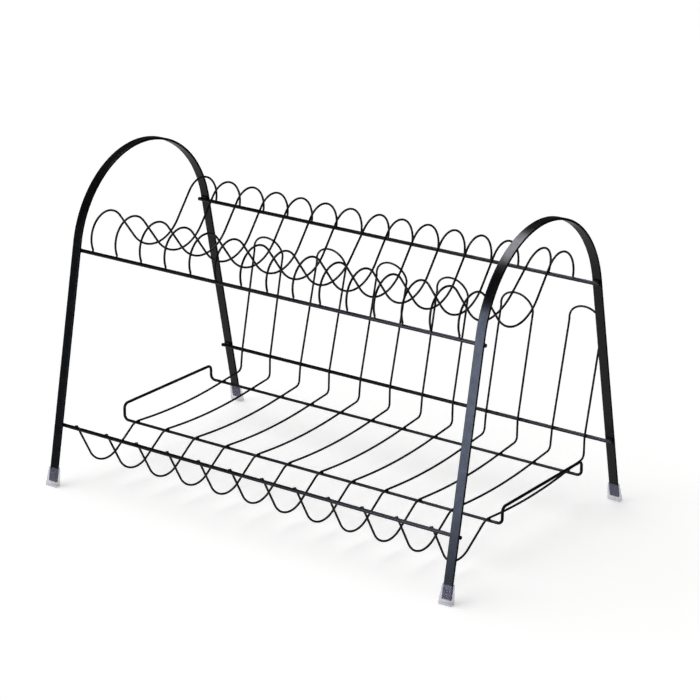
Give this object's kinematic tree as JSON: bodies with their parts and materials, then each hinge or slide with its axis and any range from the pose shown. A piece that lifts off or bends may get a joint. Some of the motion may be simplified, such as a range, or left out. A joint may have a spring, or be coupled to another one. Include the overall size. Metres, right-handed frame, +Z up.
{
  "type": "dish drying rack",
  "caption": "Free-standing wire dish rack with arched end frames, an upper row of wave-shaped plate wires and a lower tray of looped wires for cups.",
  "frame": {"origin": "On the floor, under the middle of the rack's outline", "axes": "+X along the rack from the left end frame to the right, +Y from the front to the back, +Z up"},
  "size_m": [0.4952, 0.3169, 0.3299],
  "materials": {
    "frame_paint": "satin",
    "wire_paint": "satin",
    "clear_cap": "gloss"
  },
  "bodies": {
    "root": {"end_frame_left": "frame_paint", "end_frame_right": "frame_paint", "upper_rod_front": "frame_paint", "upper_rod_back": "frame_paint", "lower_rod_front": "frame_paint", "lower_rod_back": "frame_paint", "plate_wire_01": "wire_paint", "plate_wire_02": "wire_paint", "plate_wire_03": "wire_paint", "plate_wire_04": "wire_paint", "plate_wire_05": "wire_paint", "plate_wire_06": "wire_paint", "plate_wire_07": "wire_paint", "plate_wire_08": "wire_paint", "plate_wire_09": "wire_paint", "plate_wire_10": "wire_paint", "plate_wire_11": "wire_paint", "plate_wire_12": "wire_paint", "plate_wire_13": "wire_paint", "plate_wire_14": "wire_paint", "plate_wire_15": "wire_paint", "tray_perimeter_wire": "wire_paint", "loop_wire_1": "wire_paint", "loop_wire_2": "wire_paint", "loop_wire_3": "wire_paint", "loop_wire_4": "wire_paint", "loop_wire_5": "wire_paint", "loop_wire_6": "wire_paint", "foot_cap_left_front": "clear_cap", "foot_cap_left_back": "clear_cap", "foot_cap_right_front": "clear_cap", "foot_cap_right_back": "clear_cap"}
  },
  "joints": []
}
